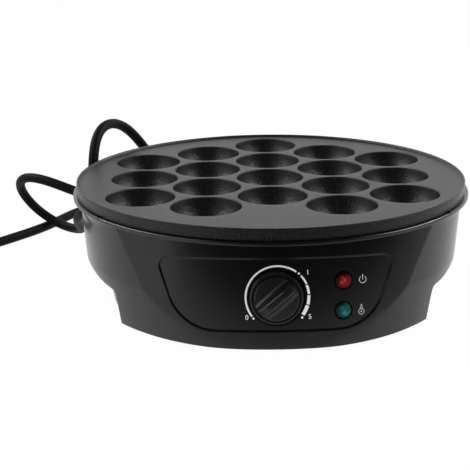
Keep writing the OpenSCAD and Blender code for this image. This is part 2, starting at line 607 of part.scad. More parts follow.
housing();
bottom_cover();
foot(225);  // foot_front_left
foot(315);  // foot_front_right
foot(135);  // foot_back_left
foot(45);  // foot_back_right
cover_screws();
baking_plate();
plate_screws();
heating_element();
element_pins();
element_seal(-1);  // element_seal_left
element_seal(1);  // element_seal_right
element_clip(-1, -1);  // element_clip_front_left
element_clip(1, -1);  // element_clip_front_right
element_clip(-1, 1);  // element_clip_back_left
element_clip(1, 1);  // element_clip_back_right
element_clip_screws();
heat_reflector();
reflector_screws();
thermostat_bracket();
thermostat_body();
thermostat_terminals();
thermostat_screws();
thermostat_shaft();
knob();
knob_leaf_spring();
capillary_tube();
sensor_bulb();
bulb_clip();
bulb_clip_screw();
lens(lens_up[0], "#b3202a");  // lens_red
lens(lens_up[1], "#0f7f6c");  // lens_green
lens_nut(lens_up[0]);  // lens_nut_red
lens_nut(lens_up[1]);  // lens_nut_green
lamp(lens_up[0], "#e08a5a");  // lamp_red
lamp(lens_up[1], "#9ad0c0");  // lamp_green
thermal_fuse();
fuse_clip();
terminal_block();
terminal_screws();
wire_live();
wire_neutral();
wire_heater();
wire_earth();
cord_clamp();
cord_clamp_screws();
cord_tail();
strain_relief();
power_cord();
plug_body();
plug_pins();
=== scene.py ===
"""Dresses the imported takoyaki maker: a black moulded casing, a dark nonstick plate of half-round
cups, a heat knob, two lamps and a mains lead. Lengths in surface functions are in millimetres and
angles round the cooker in degrees from its front."""

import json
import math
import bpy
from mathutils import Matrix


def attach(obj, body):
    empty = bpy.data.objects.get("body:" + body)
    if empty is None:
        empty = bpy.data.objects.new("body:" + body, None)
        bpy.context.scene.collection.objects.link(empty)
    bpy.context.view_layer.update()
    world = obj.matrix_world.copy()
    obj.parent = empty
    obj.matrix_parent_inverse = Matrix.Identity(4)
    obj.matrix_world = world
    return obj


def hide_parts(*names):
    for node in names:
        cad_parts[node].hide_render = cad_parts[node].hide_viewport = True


bl_info = {
    "name": "Takoyaki maker",
    "version": (1, 0, 0),
    "blender": (4, 5, 0),
    "location": "3D View > Sidebar > Cooker",
    "description": "Builds the looks of a round electric cooker around its packed model",
    "category": "Object",
}

import bmesh
import bpy
import numpy as np
from mathutils import Vector
from mathutils.geometry import delaunay_2d_cdt

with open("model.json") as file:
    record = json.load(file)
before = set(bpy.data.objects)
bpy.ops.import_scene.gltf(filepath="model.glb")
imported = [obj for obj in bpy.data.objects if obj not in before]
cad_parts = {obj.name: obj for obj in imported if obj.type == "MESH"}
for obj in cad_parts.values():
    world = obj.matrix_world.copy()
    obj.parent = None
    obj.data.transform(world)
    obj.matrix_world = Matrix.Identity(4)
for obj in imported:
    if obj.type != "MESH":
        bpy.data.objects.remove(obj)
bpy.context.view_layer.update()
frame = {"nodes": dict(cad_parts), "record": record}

MM = 0.001
BODY, KNOB_BODY = "cooker", "knob"


# ---------------------------------------------------------------- sizes and colours

def metres(name, description, default, low, high):
    return bpy.props.FloatProperty(name=name, description=description, default=default, min=low,
                                   max=high, unit="LENGTH")


def tone(name, description, *default):
    return bpy.props.FloatVectorProperty(name=name, description=description, default=default,
                                         subtype="COLOR", size=3, min=0, max=1)


class CookerSizes(bpy.types.PropertyGroup):
    """Sizes of the pieces that this file makes."""

    lead_diameter: metres("Lead diameter", "Thickness of the mains lead", 0.0074, 0.006, 0.009)
    cup_edge: metres("Cup edge", "Radius of the rounded edge of each cup", 0.0007, 0.0002, 0.0012)
    print_height: metres("Print thickness", "Height of the printed marks above the panel",
                         0.00005, 0.00002, 0.0002)
    digit_height: metres("Digit height", "Height of the numbers round the dial",
                         0.0030, 0.002, 0.005)


class CookerColours(bpy.types.PropertyGroup):
    """Colours of the finishes."""

    casing: tone("Casing", "Moulded casing", 0.0030, 0.0030, 0.0030)
    plate: tone("Plate", "Nonstick coating of the plate", 0.0060, 0.0060, 0.0065)
    knob: tone("Knob", "Knob plastic", 0.0065, 0.0065, 0.0068)
    ink: tone("Ink", "Printed marks", 0.93, 0.95, 0.98)
    red: tone("Red lens", "Lens of the mains lamp", 0.24, 0.001, 0.002)
    green: tone("Green lens", "Lens of the heat lamp", 0.001, 0.12, 0.105)
    floor: tone("Floor", "Studio floor", 0.9, 0.9, 0.9)


def sizes():
    return bpy.context.scene.cooker_sizes


# ---------------------------------------------------------------- shader maths

class Value:
    """A socket of a node tree. Arithmetic on it adds Math nodes to the tree."""

    def __init__(self, tree, socket):
        self.tree, self.socket = tree, socket

    def maths(self, operation, *values):
        return self.tree.add("ShaderNodeMath", dict(enumerate(values)), operation=operation)

    def __add__(self, other):
        return self.maths("ADD", self, other)

    def __sub__(self, other):
        return self.maths("SUBTRACT", self, other)

    def __rsub__(self, other):
        return self.maths("SUBTRACT", other, self)

    def __mul__(self, other):
        return self.maths("MULTIPLY", self, other)

    def __pow__(self, other):
        return self.maths("POWER", self, other)

    __radd__, __rmul__ = __add__, __mul__


class Tree:
    """A node tree, with one method for any node."""

    def __init__(self, tree):
        self.nodes, self.links = tree.nodes, tree.links

    def feed(self, socket, value):
        if isinstance(value, Value):
            self.links.new(value.socket, socket)
        elif socket.type == "RGBA" and len(value) == 3:
            socket.default_value = (*value, 1)
        else:
            socket.default_value = value

    def add(self, kind, values=(), output=0, **settings):
        """Any node: its settings first, then the values or links of its sockets."""
        node = self.nodes.new(kind)
        for key, value in settings.items():
            setattr(node, key, value)
        for key, value in dict(values).items():
            self.feed(node.inputs[key], value)
        return Value(self, node.outputs[output])

    def spread(self, value, low, high, first=0, last=1):
        """value from first to last mapped to low to high and held there."""
        return self.add("ShaderNodeMapRange", {"Value": value, "From Min": first,
                                               "From Max": last, "To Min": low, "To Max": high})

    def split(self, vector, axis):
        return self.add("ShaderNodeSeparateXYZ", {0: vector}, output=axis)

    def seen(self):
        """1 for rays of the camera and for those mirrored by or passed through a piece."""
        total, glossy, passed = (self.add("ShaderNodeLightPath", output=f"Is {kind} Ray")
                                 for kind in ("Camera", "Glossy", "Transmission"))
        for more in (glossy, passed):
            total = total.maths("MAXIMUM", total, more)
        return total


class Finish(Tree):
    """A material on one Principled shader, whose constants stand on the shader's own sockets."""

    def __init__(self, name, **constants):
        self.material = bpy.data.materials.new(name)
        self.material.use_nodes = True
        super().__init__(self.material.node_tree)
        self.shader = self.nodes["Principled BSDF"]
        for key, value in constants.items():
            self.set(key.replace("_", " "), value)

    def set(self, name, value):
        self.feed(self.shader.inputs[name], value)

    def place(self, scale=(1, 1, 1), location=(0, 0, 0)):
        """Object coordinates through a Mapping node."""
        spot = self.add("ShaderNodeTexCoord", output="Object")
        return self.add("ShaderNodeMapping", {"Vector": spot, "Scale": scale, "Location": location})

    def reach(self, centre):
        """Distance from a centre, in metres."""
        where = self.place(location=[-float(v) for v in centre])
        return self.add("ShaderNodeVectorMath", {0: where}, output=1, operation="LENGTH")

    def noise(self, scale, detail=2, roughness=0.5, where=None):
        return self.add("ShaderNodeTexNoise", {
            "Vector": where or self.place(), "Scale": scale, "Detail": detail,
            "Roughness": roughness})

    def tint(self, factor, first, second):
        return self.add("ShaderNodeMix", {0: factor, 6: first, 7: second}, output=2,
                        data_type="RGBA")

    def bump(self, height, distance, strength=1.0):
        self.set("Normal", self.add("ShaderNodeBump", {
            "Height": height, "Distance": distance, "Strength": strength}))


FINISHES = {}


def finish(name):
    """The named finish's material, made once."""
    if name not in FINISHES:
        maker, colour, *rest = MAKERS[name]
        if isinstance(colour, str):
            colour = tuple(getattr(bpy.context.scene.cooker_colours, colour))
        FINISHES[name] = maker(name, colour, *rest).material
    return FINISHES[name]


def moulded(name, colour, low, high, grain, depth, gloss=0.3):
    """Moulded plastic: fine spark texture, faint cloudy changes of gloss and a trace of dust."""
    skin = Finish(name, Specular_IOR_Level=gloss)
    cloud = skin.noise(28, 3, 0.55)
    fine = skin.noise(grain, 2, 0.6)
    dust = skin.spread(skin.noise(900, 1) - 0.66, 0, 6)
    skin.set("Roughness", skin.spread(cloud, low, high) + fine * 0.04)
    skin.set("Base Color", skin.tint(dust * 0.10, colour, [min(1, c * 4 + 0.02) for c in colour]))
    skin.bump(fine + cloud * 0.4, depth)
    return skin


FLECK, FLECK_R = (0.03620, -0.11050, 0.0835), 0.0011
CUP_TOP = 0.0815


def nonstick(name, colour):
    """Sprayed nonstick coating: a grain of fine beads over slow clouds, pale specks of painted
    sparkle in its colour, smoother down in the cups than on the deck, and a small dark fleck."""
    coat = Finish(name, Specular_IOR_Level=0.26)
    beads = coat.noise(820, 2, 0.6)
    fine = coat.noise(2600, 2, 0.6)
    cloud = coat.noise(16, 3, 0.5)
    # painted highlights: pale specks of sparkle, painted into the colour
    spark = coat.spread(coat.noise(1900, 1) - 0.58, 0, 8)
    reach = coat.reach(FLECK)
    fleck = reach.maths("LESS_THAN", reach, FLECK_R)
    base = coat.tint(cloud, [c * 0.86 for c in colour], [c * 1.16 for c in colour])
    # the painted sparkle lightens the colour towards pale grey
    base = coat.tint(spark * 0.24, base, (0.1, 0.1, 0.105))
    coat.set("Base Color", coat.tint(fleck * 0.8, base, (0.004, 0.004, 0.004)))
    deck = coat.spread((coat.split(coat.place(), "Z") - CUP_TOP) * 700, 0, 1)
    coat.set("Roughness", coat.spread(fine, 0.18, 0.28) + deck * 0.1)
    coat.bump(beads * 1.6 + fine * 0.4, 0.0002)
    return coat


def ink(name, colour):
    """Screen-printed ink, a little uneven."""
    print_coat = Finish(name, Specular_IOR_Level=0.4)
    mottle = print_coat.noise(1400, 2)
    print_coat.set("Base Color", print_coat.tint(mottle, [c * 0.86 for c in colour], colour))
    print_coat.set("Roughness", print_coat.spread(mottle, 0.4, 0.55))
    return print_coat


def lens(name, colour, place):
    """Clear moulded lens over dark: bright in its middle and darkened towards its rim by painted
    shade, with facets that each catch the light differently, and painted pale highlights on some of
    them."""
    dome = Finish(name, Coat_Weight=0.06, Coat_Roughness=0.08, Specular_IOR_Level=0.1)
    reach = dome.reach(MM * lens_frame(LENS_UPS[place])[0])
    cells = {"Vector": dome.place(), "Scale": 520.0}
    facet = dome.add("ShaderNodeTexVoronoi", cells)
    cell = dome.add("ShaderNodeTexVoronoi", cells, output="Color")
    chance = dome.add("ShaderNodeSeparateColor", {0: cell})
    # painted shade: the colour darkens from the lens's middle towards its rim, broken up by the
    # facets
    painted_shade = dome.spread(reach * (1.75 / (LENS_R * MM)) + facet * 0.4 - 0.62, 0, 1)
    # painted highlights: pale glints on a share of the facets, kept off where the painted shade is
    # deep
    painted_glint = dome.spread(chance * 5 - 3.6, 0, 1) * (1 - painted_shade)
    body = dome.tint(painted_shade, colour, [0.09 * c for c in colour])
    dome.set("Base Color", dome.tint(painted_glint * 0.8, body, [1.1 * c + 0.06 for c in colour]))
    dome.set("Roughness", dome.spread(facet, 0.16, 0.34))
    dome.bump(facet, 0.0004, 0.6)
    return dome


def metal(name, colour, low, high, *stretch):
    """Drawn or rolled metal: fine lines along one way, and slow changes of sheen."""
    bar = Finish(name, Metallic=1.0)
    lines = bar.noise(400, 3, 0.6, bar.place(scale=stretch))
    cloud = bar.noise(60, 2)
    bar.set("Base Color", bar.tint(lines, [c * 0.85 for c in colour], colour))
    bar.set("Roughness", bar.spread(cloud, low, high) + lines * 0.06)
    bar.bump(lines, 0.00001)
    return bar


def plain(name, colour, roughness=0.45):
    """Small hidden moulding or wire: one tone, mottled."""
    piece = Finish(name)
    mottle = piece.noise(500, 3)
    piece.set("Base Color", piece.tint(mottle, [c * 0.85 for c in colour], colour))
    piece.set("Roughness", piece.spread(mottle, roughness - 0.06, roughness + 0.06))
    piece.bump(mottle, 0.00002)
    return piece


# Each finish's maker and what it is given: colours by name come from the panel
MAKERS = {
    "black_plastic": (moulded, "casing", 0.15, 0.21, 1500, 0.00001, 0.5),
    "cover_plastic": (moulded, (0.013, 0.013, 0.014), 0.42, 0.52, 1100, 0.00003),
    "knob_plastic": (moulded, "knob", 0.27, 0.34, 1800, 0.00001, 0.5),
    "cord_rubber": (moulded, (0.0040, 0.0037, 0.0037), 0.42, 0.54, 700, 0.00003, 0.06),
    "foot_rubber": (moulded, (0.03, 0.03, 0.031), 0.6, 0.75, 600, 0.00004),
    "nonstick": (nonstick, "plate"),
    "ink": (ink, "ink"),
    "red_lens": (lens, "red", 0),
    "green_lens": (lens, "green", 1),
    "steel": (metal, (0.6, 0.6, 0.61), 0.25, 0.4, 1, 1, 12),
    "sheath": (metal, (0.33, 0.31, 0.3), 0.4, 0.55, 12, 1, 1),
    "brass": (metal, (0.7, 0.52, 0.25), 0.25, 0.4, 1, 8, 1),
    "copper": (metal, (0.75, 0.42, 0.27), 0.25, 0.4, 8, 1, 1),
    "plated": (metal, (0.75, 0.75, 0.76), 0.12, 0.22, 1, 12, 1),
    "ceramic": (plain, (0.8, 0.77, 0.7), 0.3),
    "block_plastic": (plain, (0.8, 0.78, 0.7)),
    "lamp_glass": (plain, (0.9, 0.75, 0.65), 0.1),
    "wire_brown": (plain, (0.2, 0.07, 0.03)),
    "wire_blue": (plain, (0.05, 0.15, 0.5)),
    "wire_black": (plain, (0.03, 0.03, 0.03)),
    "wire_green": (plain, (0.25, 0.4, 0.04)),
}


# ---------------------------------------------------------------- meshes

def link(name, data):
    """A new object of that name in the scene."""
    thing = bpy.data.objects.new(name, data)
    bpy.context.collection.objects.link(thing)
    return thing


class Surface:
    """Collects grids of points and flat fills, in millimetres, and turns them into one mesh."""

    def __init__(self):
        self.points, self.faces, self.count = [], [], 0

    def fill(self, points, faces):
        points = np.asarray(points, float).reshape(-1, 3)
        self.faces += (np.asarray(faces) + self.count).tolist()
        self.points.append(points)
        self.count += len(points)
        return self

    def grid(self, points, round_rows=False, round_columns=False):
        """Quads between neighbouring points of an (m, n, 3) array, closed round where asked."""
        m, n = points.shape[:2]
        i, j = np.meshgrid(np.arange(m if round_rows else m - 1),
                           np.arange(n if round_columns else n - 1), indexing="ij")
        i2, j2 = (i + 1) % m, (j + 1) % n
        faces = np.stack([i * n + j, i2 * n + j, i2 * n + j2, i * n + j2], -1)
        return self.fill(points, faces.reshape(-1, 4))

    def tube(self, points):
        """Rows of points as closed rings, one after another."""
        return self.grid(points, round_columns=True)

    def piece(self, name, material, body=BODY, slot=None, replaces=(), bevel=0, angle=32,
              merge=2e-6):
        """The finished object: doubles merged, faces turned outwards, riding on its body."""
        mesh = bpy.data.meshes.new(name)
        mesh.from_pydata((np.concatenate(self.points) * MM).tolist(), [], self.faces)
        work = bmesh.new()
        work.from_mesh(mesh)
        bmesh.ops.remove_doubles(work, verts=work.verts, dist=merge)
        bmesh.ops.dissolve_degenerate(work, edges=work.edges, dist=merge / 4)
        bmesh.ops.recalc_face_normals(work, faces=work.faces)
        work.to_mesh(mesh)
        work.free()
        mesh.shade_smooth()
        mesh.set_sharp_from_angle(angle=math.radians(angle))
        mesh.materials.append(finish(material))
        piece = link(name, mesh)
        if bevel:
            edge = piece.modifiers.new("edge", "BEVEL")
            edge.width, edge.segments = bevel * MM, 3
            edge.limit_method, edge.angle_limit = "ANGLE", math.radians(40)
        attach(piece, body)
        if replaces:
            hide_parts(*replaces)
        return piece


def rounded(*corners, steps=6):
    """Open path of (a, b) points whose corners (a, b, radius) are arcs that touch both sides."""
    path = [np.array(corners[0][:2], float)[None]]
    for before, corner, after in zip(corners, corners[1:], corners[2:]):
        tip = np.array(corner[:2], float)
        if len(corner) < 3 or corner[2] <= 0:
            path.append(tip[None])
            continue
        one, two = (np.array(p[:2], float) - tip for p in (before, after))
        one, two = one / np.linalg.norm(one), two / np.linalg.norm(two)
        half = math.acos(np.clip(one @ two, -1, 1)) / 2
        middle = (one + two) / np.linalg.norm(one + two)
        centre = tip + middle * corner[2] / math.sin(half)
        start = tip + one * corner[2] / math.tan(half) - centre
        end = tip + two * corner[2] / math.tan(half) - centre
        turn = math.atan2(start[0] * end[1] - start[1] * end[0], start @ end)
        t = np.linspace(0, turn, steps + 1)
        path.append(centre + np.stack([start[0] * np.cos(t) - start[1] * np.sin(t),
                                       start[0] * np.sin(t) + start[1] * np.cos(t)], -1))
    path.append(np.array(corners[-1][:2], float)[None])
    return np.concatenate(path)


def whole_turn(count):
    return np.linspace(0, 2 * np.pi, count, endpoint=False)


def circle(radius, count):
    """Closed ring of (x, y) points."""
    t = whole_turn(count)
    return radius * np.stack([np.cos(t), np.sin(t)], -1)


def revolve(profile, turns):
    """A profile of (radius, height) points turned about the height."""
    t = whole_turn(turns)
    r = np.broadcast_to(profile[:, :1], (len(profile), turns))
    z = np.broadcast_to(profile[:, 1:], r.shape)
    return np.stack([r * np.cos(t), r * np.sin(t), z], -1)


def onto(points, origin, x_axis, y_axis, z_axis):
    """Points of a local frame put where the frame is."""
    frame_axes = np.array([x_axis, y_axis, z_axis], float)
    return np.asarray(points) @ frame_axes + np.array(origin, float)


def eased(v):
    """3v^2 - 2v^3 with v held between 0 and 1."""
    v = np.clip(v, 0, 1)
    return v * v * (3 - 2 * v)


def flat_fill(outline, holes, inside, step):
    """Triangles of a flat region within an outline and outside round holes, with a lattice of
    inner points a step apart. Returns (x, y) points and faces."""
    rings = [outline] + holes
    edges, start = [], 0
    for ring in rings:
        k = np.arange(len(ring))
        edges.append(np.stack([k, (k + 1) % len(ring)], -1) + start)
        start += len(ring)
    low, high = outline.min(0), outline.max(0)
    x, y = np.meshgrid(np.arange(low[0], high[0], step), np.arange(low[1], high[1], step * 0.866))
    x = x + (np.arange(x.shape[0])[:, None] % 2) * step / 2
    lattice = np.stack([x.ravel(), y.ravel()], -1)
    lattice = lattice[inside(lattice, step * 0.6)]
    points = np.concatenate(rings + [lattice])
    found = delaunay_2d_cdt([Vector(p) for p in points.tolist()], np.concatenate(edges).tolist(),
                            [], 0, 1e-5)
    flat = np.array([tuple(p) for p in found[0]])
    faces = np.array(found[2])
    middle = flat[faces].mean(1)
    faces = faces[inside(middle, 0.0)]
    return flat, faces


# ---------------------------------------------------------------- the casing's form

SURFACE_Z, FLANGE_Z, BASE_Z = 83.5, 77.0, 2.2
SHOULDER_Z, WAIST_Z = 34.5, 16.0
DRUM_R, DRUM_TOP_R, BASE_R, WAIST_R = 126.0, 127.6, 110.2, 113.0
SIDE_R, SIDE_TOP_R = 127.8, 131.2
FLANGE_R, SEAT_R = 135.48, 126.2
FLARE, FLARE_Z, FLARE_TALL, FLARE_ANGLE, FLARE_SPAN = 3.6, 66.6, 7.4, 46, 24
CUT_ANGLE, CUT_LEAD, CUT_EASE, CUT_RISE, CUT_SPAN = 57.0, 1.2, 3.0, 3.2, 21
TAPER, WALL, INNER_R = 0.17, 2.6, 130
APRON_R, APRON_TILT, PANEL_Y, PANEL_Z = 185.0, math.radians(7.8), 114.5, 34.8
RECESS = 1.2
FLOOR_R = APRON_R - RECESS
PANEL_O = np.array([0, -PANEL_Y, PANEL_Z])
PANEL_X = np.array([1.0, 0, 0])
PANEL_UP = np.array([0, math.sin(APRON_TILT), math.cos(APRON_TILT)])
PANEL_OUT = np.array([0, -math.cos(APRON_TILT), math.sin(APRON_TILT)])


def walled_r(z, shoulder, top):
    """Drum radius without a waist: a slight taper above the shoulder, more below."""
    above = shoulder + (top - shoulder) * (z - SHOULDER_Z) / (FLANGE_Z - SHOULDER_Z)
    return np.where(z > SHOULDER_Z, above, shoulder - TAPER * (SHOULDER_Z - z))


def waisted_r(z):
    """Drum radius with the waist: an eased draw-in from shoulder to waist, then nearly upright."""
    share = np.clip((SHOULDER_Z - z) / (SHOULDER_Z - WAIST_Z), 0, 1)
    curve = SIDE_R + (WAIST_R - SIDE_R) * eased(share)
    foot = BASE_R + (WAIST_R - BASE_R) * (z - BASE_Z) / (WAIST_Z - BASE_Z)
    return np.where(z < WAIST_Z, foot, curve)


def body_r(a, z):
    """A slightly oval drum, wider at its sides by max(0, -cos 2a). Under the flange it flares out
    as a quarter ellipse, which grows from nothing over FLARE_SPAN degrees. Below the shoulder it
    is cut in to the waist behind an upright edge at CUT_ANGLE, and over the next CUT_SPAN degrees
    the top of the cut-in rises by CUT_RISE."""
    wide = np.clip(-np.cos(np.radians(2 * a)), 0, 1)
    plain = walled_r(z, DRUM_R, DRUM_TOP_R) * (1 - wide) + walled_r(z, SIDE_R, SIDE_TOP_R) * wide
    flare = FLARE * eased((np.abs(a) - FLARE_ANGLE) / FLARE_SPAN)
    plain = plain + flare * (1 - np.sqrt(1 - np.clip((z - FLARE_Z) / FLARE_TALL, 0, 0.985) ** 2))
    away = np.abs(a) - CUT_ANGLE
    rise = z + CUT_RISE * (1 - eased(away / CUT_SPAN))
    share = eased((away + CUT_LEAD) / CUT_EASE)
    cut = np.minimum(plain, waisted_r(rise) + (plain - SIDE_R) * (rise > SHOULDER_Z))
    return np.where(rise > SHOULDER_Z, plain, plain + (cut - plain) * share)


def apron_r(a, z, depth=0.0):
    """Distance from the cooker's axis, at angle a and height z, to the leaning upright cylinder
    of the front apron: the larger root of the ray's quadratic."""
    sa, ca = np.sin(np.radians(a)), np.cos(np.radians(a))
    c1 = ca * math.cos(APRON_TILT)
    c0 = -PANEL_Y * math.cos(APRON_TILT) + (z - PANEL_Z) * math.sin(APRON_TILT) + APRON_R
    q = sa ** 2 + c1 ** 2
    return (-c1 * c0 + np.sqrt(np.maximum((c1 * c0) ** 2 - q * (c0 ** 2 - (APRON_R - depth) ** 2),
                                          0))) / q


def casing_r(a, z):
    """Soft minimum of drum and apron: min(p, q), rounded over a width that grows towards the
    foot."""
    p, q = body_r(a, z), apron_r(a, z)
    width = 0.3 + 0.9 * eased((34 - z) / 28)
    h = np.clip(0.5 + 0.5 * (q - p) / width, 0, 1)
    return q + (p - q) * h - width * h * (1 - h)


def apron_edge(z):
    """Angle from the front at which drum and apron meet at a height: the first fall of their
    difference through nought."""
    a = np.linspace(5, 75, 1401)[:, None]
    gap = body_r(a, np.atleast_1d(z)[None]) - apron_r(a, np.atleast_1d(z)[None])
    return a[np.argmax(gap <= 0, axis=0), 0]


def signed(a):
    """Angles from 0 to 360 counted to both sides of the front instead."""
    return a - 360 * (a > 180)


def around(r, a, z):
    """Cylinder coordinates, with the angle in degrees counted from the front, as points."""
    r, a, z = np.broadcast_arrays(r, np.radians(a), z)
    return np.stack([r * np.sin(a), -r * np.cos(a), z], -1)


def on_apron(x, up, lift):
    """Panel coordinates as points: x across, up along the lean, lift out from the apron."""
    w = np.sqrt((APRON_R + lift) ** 2 - x ** 2) - APRON_R
    x, up, w = np.broadcast_arrays(x, up, w)
    return PANEL_O + x[..., None] * PANEL_X + up[..., None] * PANEL_UP + w[..., None] * PANEL_OUT


WELL_X, WELL_UP, WELL_R, WELL_DEPTH = 0.5, 0.2, 18.1, 1.3
RECESS_CORNERS = ((-75.5, 25, 6), (-60.8, -21.3, 31), (60.8, -21.3, 31), (75.5, 25, 6))


def recess_outline():
    """The recess's outline, closed: straight sides and arcs."""
    middle = (0.0, RECESS_CORNERS[0][1])
    return rounded(middle, *RECESS_CORNERS, middle, steps=24)[:-1]


LENS_X, LENS_UPS, LENS_R, LENS_SEAT_R = 42.0, (9.5, -9.4), 5.4, 6.0


def lens_frame(up):
    """Centre and axes of a lens: square to the curved panel."""
    beta = math.asin(LENS_X / APRON_R)
    out = math.sin(beta) * PANEL_X + math.cos(beta) * PANEL_OUT
    across = math.cos(beta) * PANEL_X - math.sin(beta) * PANEL_OUT
    centre = on_apron(np.array(LENS_X), np.array(up), 0.0)
    return centre, across, PANEL_UP, out


def lens_ring(up):
    """The circle where a lens's seat meets the recess floor, as (x, up)."""
    t = whole_turn(96)
    beta = math.asin(LENS_X / APRON_R) + np.arcsin(LENS_SEAT_R * np.cos(t) / FLOOR_R)
    return np.stack([FLOOR_R * np.sin(beta), up + LENS_SEAT_R * np.sin(t)], -1)


# ---------------------------------------------------------------- camera and lead

# Route of the lead from the strain relief's tip to the plug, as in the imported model
LEAD_ROUTE = [
    (-128, 96, 45), (-144, 108, 45), (-172, 117, 55), (-194, 134, 54), (-200, 156, 37),
    (-186, 165, 15), (-163, 155, 4), (-144, 134, 8), (-147, 108, 21), (-145, 86, 33),
    (-133, 65, 45), (-128, 57, 72), (-128, 70, 96), (-121, 94, 104.9), (-108, 117, 98),
    (-93, 124, 77), (-82, 129, 56), (-76, 141, 36), (-77, 157, 20), (-81, 177, 9),
    (-89, 200, 4), (-105, 219, 4), (-130, 226, 4), (-152, 215, 4), (-165, 193, 4),
    (-174, 171, 4), (-186, 150, 4), (-201, 130, 4), (-217, 109, 4), (-237, 95, 4),
    (-262, 90, 4), (-285, 98, 4), (-302, 116, 4), (-310, 139, 5), (-312, 163, 12),
    (-312, 187, 19), (-312, 211, 19)]
GLAND_OUT = np.array([-0.8, 0.6, 0.0])
GLAND_R, GLAND_Z = 126.47, 45


def smooth_route(points, steps):
    """Uniform cubic B-spline: each span mixes four neighbours by (1-t)^3, 3t^3-6t^2+4,
    -3t^3+3t^2+3t+1 and t^3 over 6; a mirrored neighbour beyond each end holds the curve there."""
    p = np.asarray(points, float)
    p = np.concatenate([2 * p[:1] - p[1:2], p, 2 * p[-1:] - p[-2:-1]])
    t = np.linspace(0, 1, steps, endpoint=False)[None, :, None]
    a, b, c, d = (p[k:len(p) - 3 + k, None] for k in range(4))
    curve = ((1 - t) ** 3 * a + (3 * t ** 3 - 6 * t ** 2 + 4) * b
             + (-3 * t ** 3 + 3 * t ** 2 + 3 * t + 1) * c + t ** 3 * d) / 6
    return np.concatenate([curve.reshape(-1, 3), np.asarray(points[-1:], float)])


class COOKER_OT_camera(bpy.types.Operator):
    """Put the camera where the photograph was taken"""

    bl_idname = "cooker.camera"
    bl_label = "Camera"

    def execute(self, context):
        data = bpy.data.cameras.new("camera")
        data.lens, data.sensor_width, data.clip_start, data.clip_end = 98.787, 36, 0.05, 20
        camera = link("camera", data)
        camera.location = (-0.030058, -0.866184, 0.299342)
        camera.rotation_euler = [math.radians(v) for v in (73.4499, 0.65558, -0.5541)]
        context.scene.camera = camera
        return {"FINISHED"}


class COOKER_OT_lead(bpy.types.Operator):
    """Make the mains lead with its strain relief and plug"""

    bl_idname = "cooker.lead"
    bl_label = "Mains lead"

    def execute(self, context):
        route = smooth_route(LEAD_ROUTE, 12) * MM
        data = bpy.data.curves.new("mains_lead", "CURVE")
        data.dimensions, data.bevel_resolution, data.use_fill_caps = "3D", 6, True
        data.bevel_depth = sizes().lead_diameter / 2
        spline = data.splines.new("POLY")
        spline.points.add(len(route) - 1)
        spline.points.foreach_set("co", np.c_[route, np.ones(len(route))].ravel())
        spline.use_smooth = True
        lead = link("mains_lead", data)
        data.materials.append(finish("cord_rubber"))
        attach(lead, BODY)
        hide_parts("power_cord")

        boot, plug = self.boot(), self.plug()
        return {"FINISHED"}

    def boot(self):
        """Strain relief: a tapered sleeve with a collar and six soft grooves."""
        grooves = []
        for k in range(6):
            low, rim, core = 7 + 4 * k, 6.75 - 0.36 * k / 2, 5.75 - 0.25 * k
            grooves += [(rim, low - 0.1, 0.3), (core, low + 0.25, 0.3), (core, low + 1.25, 0.3),
                        (rim - 0.06, low + 1.6, 0.3)]
        profile = rounded((0, -6), (9, -6, 0.6), (9, -3.2, 0.4), (6.95, -3.2), (6.95, 0.3),
                          (8.6, 0.3, 0.3), (8.6, 2.6, 0.9), (7.0, 3.6, 0.5), *grooves,
                          (4.8, 33.5, 0.5), (0, 33.5), steps=4)
        side = np.cross((0, 0, 1), GLAND_OUT)
        points = onto(revolve(profile, 64), GLAND_R * GLAND_OUT + (0, 0, GLAND_Z), side, (0, 0, 1),
                      GLAND_OUT)
        return Surface().tube(points).piece(
            "lead_boot", "cord_rubber", slot="cord_rubber", replaces=("strain_relief",), angle=50)

    def plug(self):
        """Moulded plug: a neck, a swelling and a fluted grip with a flat face."""
        neck = rounded((0, 0), (5.2, 0, 0.8), (6.4, 14, 6), (8, 19, 5), (13, 23.4, 3), steps=5)
        grip = rounded((14, 24), (18, 27, 2), (18.8, 30, 2), (18.8, 42.8, 1.4), (17, 44, 0.8),
                       (0, 44), steps=5)
        profile = np.concatenate([neck, grip])
        plug = revolve(profile, 160)
        share = eased((profile[:, 1] - 25) / 3) * eased((44.5 - profile[:, 1]) / 3)
        t = whole_turn(160)
        draw = 1 - 0.05 * share[:, None] * eased((np.abs(np.sin(t)) - 0.75) / 0.2)[None]
        plug[..., :2] *= draw[..., None]
        heading = np.array(LEAD_ROUTE[-1], float) - LEAD_ROUTE[-2]
        heading /= np.linalg.norm(heading)
        side = np.cross(heading, (0, 0, 1))
        points = onto(plug, LEAD_ROUTE[-1], (0, 0, 1), side, heading)
        return Surface().tube(points).piece(
            "mains_plug", "cord_rubber", slot="cord_rubber", replaces=("plug_body",), angle=50)


# ---------------------------------------------------------------- pieces of the cooker

